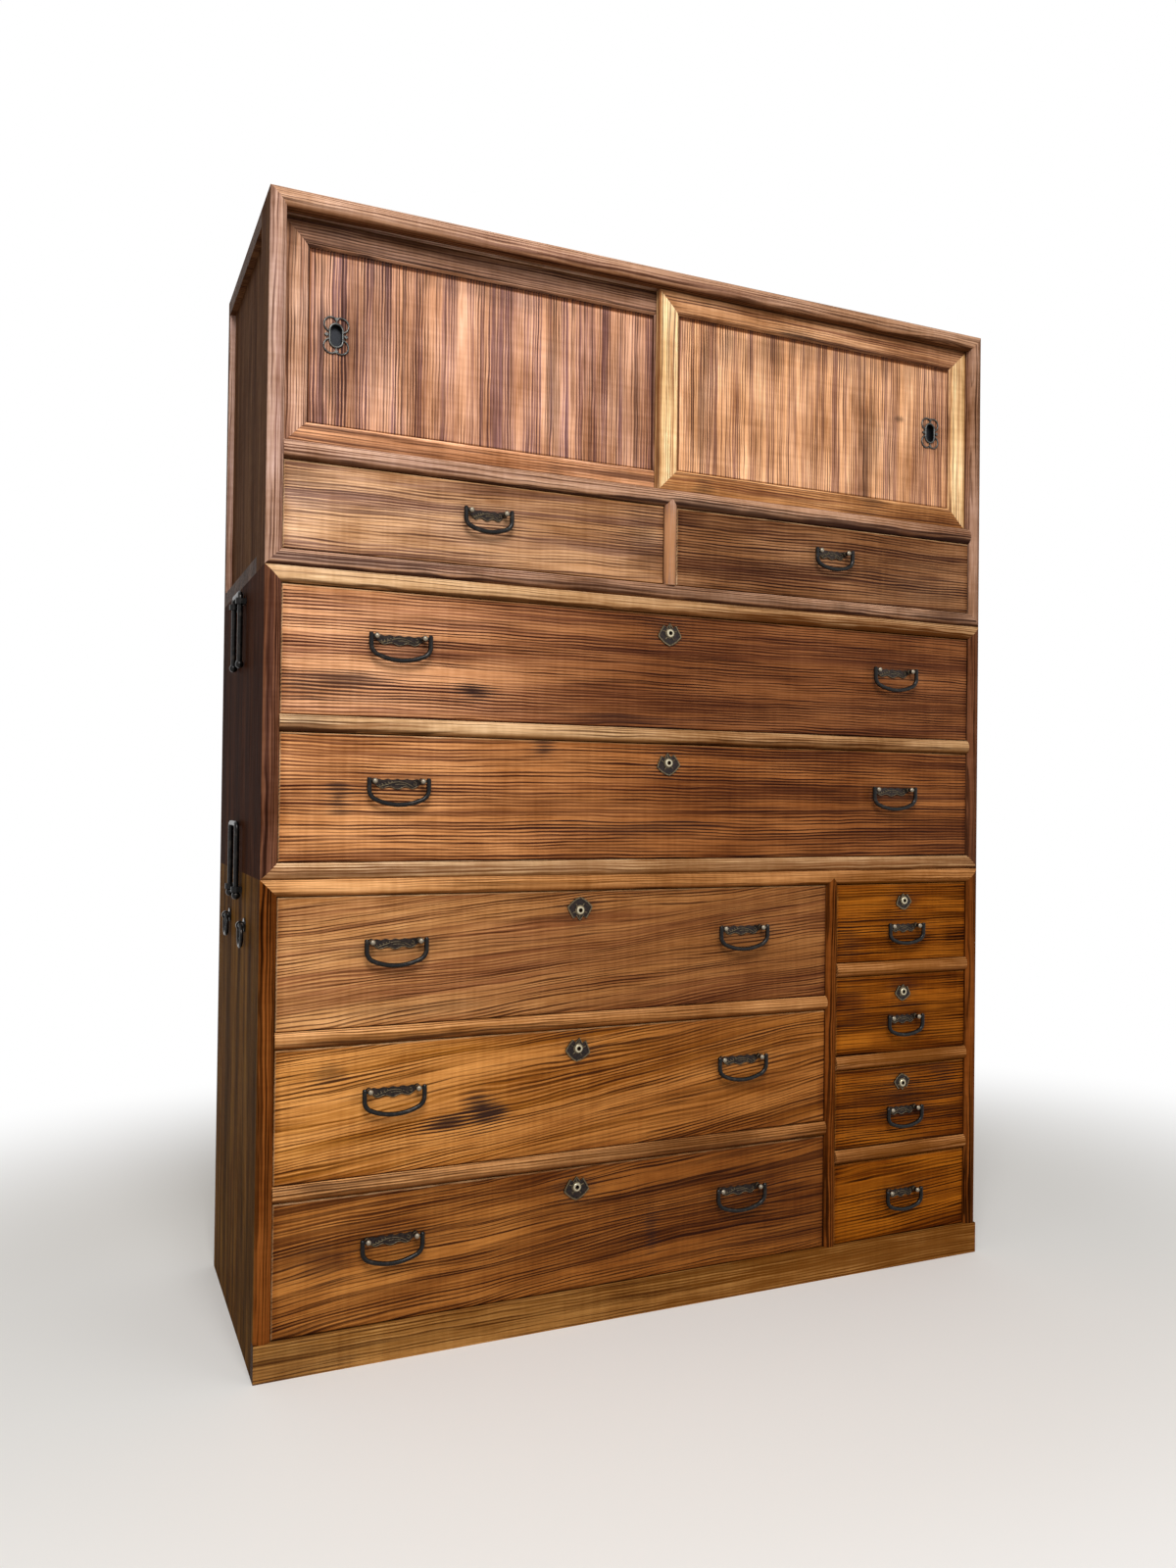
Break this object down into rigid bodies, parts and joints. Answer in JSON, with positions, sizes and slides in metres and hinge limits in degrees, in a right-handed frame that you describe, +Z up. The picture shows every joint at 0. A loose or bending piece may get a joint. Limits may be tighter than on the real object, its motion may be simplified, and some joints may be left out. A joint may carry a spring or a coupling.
{
  "type": "kimono chest",
  "caption": "Tall three-section chest with moulded board edges, rows of drawers on hanging bails, and sliding doors at the top.",
  "frame": {"origin": "on the floor, at the middle of the outline seen from above", "axes": "+Z up, +X to the right seen from the front, +Y to the back, so the drawers open towards -Y"},
  "size_m": [1.2282, 0.4342, 1.5695],
  "materials": {
    "oiled_wood_board": "oiled and brushed paulownia, grain along the board",
    "oiled_wood_upright": "oiled and brushed paulownia, upright grain",
    "black_iron": "forged, blackened and worn smooth",
    "bronze_fittings": "pressed iron plates with a brown patina",
    "pewter": "cast, dark grey, polished on the high points"
  },
  "bodies": {
    "lower_case": {"plinth": "oiled_wood_upright", "lower_uprights": "oiled_wood_upright", "lower_boards": "oiled_wood_board", "lower_eyes": "black_iron"},
    "middle_case": {"middle_uprights": "oiled_wood_upright", "middle_boards": "oiled_wood_board", "middle_eyes": "black_iron"},
    "upper_case": {"upper_uprights": "oiled_wood_upright", "upper_boards": "oiled_wood_board"},
    "upper_drawer_left": {"upper_drawer_left": "oiled_wood_board", "upper_drawer_left_fittings": "bronze_fittings"},
    "upper_drawer_right": {"upper_drawer_right": "oiled_wood_board", "upper_drawer_right_fittings": "bronze_fittings"},
    "middle_drawer_1": {"middle_drawer_1": "oiled_wood_board", "middle_drawer_1_fittings": "bronze_fittings"},
    "middle_drawer_2": {"middle_drawer_2": "oiled_wood_board", "middle_drawer_2_fittings": "bronze_fittings"},
    "wide_drawer_1": {"wide_drawer_1": "oiled_wood_board", "wide_drawer_1_fittings": "bronze_fittings"},
    "wide_drawer_2": {"wide_drawer_2": "oiled_wood_board", "wide_drawer_2_fittings": "bronze_fittings"},
    "wide_drawer_3": {"wide_drawer_3": "oiled_wood_board", "wide_drawer_3_fittings": "bronze_fittings"},
    "small_drawer_1": {"small_drawer_1": "oiled_wood_board", "small_drawer_1_fittings": "bronze_fittings"},
    "small_drawer_2": {"small_drawer_2": "oiled_wood_board", "small_drawer_2_fittings": "bronze_fittings"},
    "small_drawer_3": {"small_drawer_3": "oiled_wood_board", "small_drawer_3_fittings": "bronze_fittings"},
    "small_drawer_4": {"small_drawer_4": "oiled_wood_board", "small_drawer_4_fittings": "bronze_fittings"},
    "left_door": {"left_door": "oiled_wood_board", "left_door_pull": "pewter"},
    "right_door": {"right_door": "oiled_wood_board", "right_door_pull": "pewter"},
    "wide_drawer_1_bail_left": {"wide_drawer_1_bail_left": "black_iron"},
    "wide_drawer_1_bail_right": {"wide_drawer_1_bail_right": "black_iron"},
    "wide_drawer_2_bail_left": {"wide_drawer_2_bail_left": "black_iron"},
    "wide_drawer_2_bail_right": {"wide_drawer_2_bail_right": "black_iron"},
    "wide_drawer_3_bail_left": {"wide_drawer_3_bail_left": "black_iron"},
    "wide_drawer_3_bail_right": {"wide_drawer_3_bail_right": "black_iron"},
    "small_drawer_1_bail": {"small_drawer_1_bail": "black_iron"},
    "small_drawer_2_bail": {"small_drawer_2_bail": "black_iron"},
    "small_drawer_3_bail": {"small_drawer_3_bail": "black_iron"},
    "small_drawer_4_bail": {"small_drawer_4_bail": "black_iron"},
    "middle_drawer_1_bail_left": {"middle_drawer_1_bail_left": "black_iron"},
    "middle_drawer_1_bail_right": {"middle_drawer_1_bail_right": "black_iron"},
    "middle_drawer_2_bail_left": {"middle_drawer_2_bail_left": "black_iron"},
    "middle_drawer_2_bail_right": {"middle_drawer_2_bail_right": "black_iron"},
    "upper_drawer_left_bail": {"upper_drawer_left_bail": "black_iron"},
    "upper_drawer_right_bail": {"upper_drawer_right_bail": "black_iron"},
    "middle_loop_left": {"middle_loop_left": "black_iron"},
    "middle_loop_right": {"middle_loop_right": "black_iron"},
    "lower_loop_left": {"lower_loop_left": "black_iron"},
    "lower_loop_right": {"lower_loop_right": "black_iron"},
    "ring_left_front": {"ring_left_front": "black_iron"},
    "ring_left_rear": {"ring_left_rear": "black_iron"},
    "ring_right_front": {"ring_right_front": "black_iron"},
    "ring_right_rear": {"ring_right_rear": "black_iron"}
  },
  "joints": [
    {"name": "upper_lift", "type": "slide", "parent": "middle_case", "child": "upper_case", "axis": [0, 0, 1], "range_m": [0, 0.15]},
    {"name": "middle_lift", "type": "slide", "parent": "lower_case", "child": "middle_case", "axis": [0, 0, 1], "range_m": [0, 0.15]},
    {"name": "left_door_slide", "type": "slide", "parent": "upper_case", "child": "left_door", "axis": [1, 0, 0], "range_m": [0, 0.56]},
    {"name": "right_door_slide", "type": "slide", "parent": "upper_case", "child": "right_door", "axis": [-1, 0, 0], "range_m": [0, 0.56]},
    {"name": "upper_drawer_left_slide", "type": "slide", "parent": "upper_case", "child": "upper_drawer_left", "axis": [0, -1, 0], "range_m": [0, 0.32]},
    {"name": "upper_drawer_right_slide", "type": "slide", "parent": "upper_case", "child": "upper_drawer_right", "axis": [0, -1, 0], "range_m": [0, 0.32]},
    {"name": "middle_drawer_1_slide", "type": "slide", "parent": "middle_case", "child": "middle_drawer_1", "axis": [0, -1, 0], "range_m": [0, 0.32]},
    {"name": "middle_drawer_2_slide", "type": "slide", "parent": "middle_case", "child": "middle_drawer_2", "axis": [0, -1, 0], "range_m": [0, 0.32]},
    {"name": "wide_drawer_1_slide", "type": "slide", "parent": "lower_case", "child": "wide_drawer_1", "axis": [0, -1, 0], "range_m": [0, 0.32]},
    {"name": "wide_drawer_2_slide", "type": "slide", "parent": "lower_case", "child": "wide_drawer_2", "axis": [0, -1, 0], "range_m": [0, 0.32]},
    {"name": "wide_drawer_3_slide", "type": "slide", "parent": "lower_case", "child": "wide_drawer_3", "axis": [0, -1, 0], "range_m": [0, 0.32]},
    {"name": "small_drawer_1_slide", "type": "slide", "parent": "lower_case", "child": "small_drawer_1", "axis": [0, -1, 0], "range_m": [0, 0.32]},
    {"name": "small_drawer_2_slide", "type": "slide", "parent": "lower_case", "child": "small_drawer_2", "axis": [0, -1, 0], "range_m": [0, 0.32]},
    {"name": "small_drawer_3_slide", "type": "slide", "parent": "lower_case", "child": "small_drawer_3", "axis": [0, -1, 0], "range_m": [0, 0.32]},
    {"name": "small_drawer_4_slide", "type": "slide", "parent": "lower_case", "child": "small_drawer_4", "axis": [0, -1, 0], "range_m": [0, 0.32]},
    {"name": "middle_drawer_1_bail_left_swing", "type": "hinge", "parent": "middle_drawer_1", "child": "middle_drawer_1_bail_left", "pos_m": [-0.418, -0.21295, 0.9835], "axis": [-1, 0, 0], "range_deg": [0, 170]},
    {"name": "small_drawer_1_bail_swing", "type": "hinge", "parent": "small_drawer_1", "child": "small_drawer_1_bail", "pos_m": [0.445, -0.21295, 0.5615], "axis": [-1, 0, 0], "range_deg": [0, 170]},
    {"name": "middle_loop_left_lift", "type": "slide", "parent": "middle_case", "child": "middle_loop_left", "axis": [0, 0, 1], "range_m": [0, 0.082]},
    {"name": "middle_loop_right_lift", "type": "slide", "parent": "middle_case", "child": "middle_loop_right", "axis": [0, 0, 1], "range_m": [0, 0.082]},
    {"name": "lower_loop_left_lift", "type": "slide", "parent": "lower_case", "child": "lower_loop_left", "axis": [0, 0, 1], "range_m": [-0.082, 0]},
    {"name": "lower_loop_right_lift", "type": "slide", "parent": "lower_case", "child": "lower_loop_right", "axis": [0, 0, 1], "range_m": [-0.082, 0]},
    {"name": "ring_left_front_swing", "type": "hinge", "parent": "lower_case", "child": "ring_left_front", "pos_m": [-0.6065, -0.07345, 0.5825], "axis": [0, 1, 0], "range_deg": [0, 150]},
    {"name": "ring_left_rear_swing", "type": "hinge", "parent": "lower_case", "child": "ring_left_rear", "pos_m": [-0.6065, 0.08255, 0.5825], "axis": [0, 1, 0], "range_deg": [0, 150]},
    {"name": "ring_right_front_swing", "type": "hinge", "parent": "lower_case", "child": "ring_right_front", "pos_m": [0.6065, -0.07345, 0.5825], "axis": [0, -1, 0], "range_deg": [0, 150]},
    {"name": "ring_right_rear_swing", "type": "hinge", "parent": "lower_case", "child": "ring_right_rear", "pos_m": [0.6065, 0.08255, 0.5825], "axis": [0, -1, 0], "range_deg": [0, 150]},
    {"name": "wide_drawer_1_bail_left_swing", "type": "hinge", "parent": "wide_drawer_1", "child": "wide_drawer_1_bail_left", "pos_m": [-0.418, -0.21295, 0.5685], "axis": [-1, 0, 0], "range_deg": [0, 170]},
    {"name": "wide_drawer_1_bail_right_swing", "type": "hinge", "parent": "wide_drawer_1", "child": "wide_drawer_1_bail_right", "pos_m": [0.132, -0.21295, 0.5685], "axis": [-1, 0, 0], "range_deg": [0, 170]},
    {"name": "wide_drawer_2_bail_left_swing", "type": "hinge", "parent": "wide_drawer_2", "child": "wide_drawer_2_bail_left", "pos_m": [-0.418, -0.21295, 0.367], "axis": [-1, 0, 0], "range_deg": [0, 170]},
    {"name": "wide_drawer_2_bail_right_swing", "type": "hinge", "parent": "wide_drawer_2", "child": "wide_drawer_2_bail_right", "pos_m": [0.132, -0.21295, 0.367], "axis": [-1, 0, 0], "range_deg": [0, 170]},
    {"name": "wide_drawer_3_bail_left_swing", "type": "hinge", "parent": "wide_drawer_3", "child": "wide_drawer_3_bail_left", "pos_m": [-0.418, -0.21295, 0.1655], "axis": [-1, 0, 0], "range_deg": [0, 170]},
    {"name": "wide_drawer_3_bail_right_swing", "type": "hinge", "parent": "wide_drawer_3", "child": "wide_drawer_3_bail_right", "pos_m": [0.132, -0.21295, 0.1655], "axis": [-1, 0, 0], "range_deg": [0, 170]},
    {"name": "small_drawer_2_bail_swing", "type": "hinge", "parent": "small_drawer_2", "child": "small_drawer_2_bail", "pos_m": [0.445, -0.21295, 0.41037], "axis": [-1, 0, 0], "range_deg": [0, 170]},
    {"name": "small_drawer_3_bail_swing", "type": "hinge", "parent": "small_drawer_3", "child": "small_drawer_3_bail", "pos_m": [0.445, -0.21295, 0.25925], "axis": [-1, 0, 0], "range_deg": [0, 170]},
    {"name": "small_drawer_4_bail_swing", "type": "hinge", "parent": "small_drawer_4", "child": "small_drawer_4_bail", "pos_m": [0.445, -0.21295, 0.12312], "axis": [-1, 0, 0], "range_deg": [0, 170]},
    {"name": "middle_drawer_1_bail_right_swing", "type": "hinge", "parent": "middle_drawer_1", "child": "middle_drawer_1_bail_right", "pos_m": [0.418, -0.21295, 0.9835], "axis": [-1, 0, 0], "range_deg": [0, 170]},
    {"name": "middle_drawer_2_bail_left_swing", "type": "hinge", "parent": "middle_drawer_2", "child": "middle_drawer_2_bail_left", "pos_m": [-0.418, -0.21295, 0.787], "axis": [-1, 0, 0], "range_deg": [0, 170]},
    {"name": "middle_drawer_2_bail_right_swing", "type": "hinge", "parent": "middle_drawer_2", "child": "middle_drawer_2_bail_right", "pos_m": [0.418, -0.21295, 0.787], "axis": [-1, 0, 0], "range_deg": [0, 170]},
    {"name": "upper_drawer_left_bail_swing", "type": "hinge", "parent": "upper_drawer_left", "child": "upper_drawer_left_bail", "pos_m": [-0.294, -0.21295, 1.1685], "axis": [-1, 0, 0], "range_deg": [0, 170]},
    {"name": "upper_drawer_right_bail_swing", "type": "hinge", "parent": "upper_drawer_right", "child": "upper_drawer_right_bail", "pos_m": [0.294, -0.21295, 1.1685], "axis": [-1, 0, 0], "range_deg": [0, 170]}
  ]
}
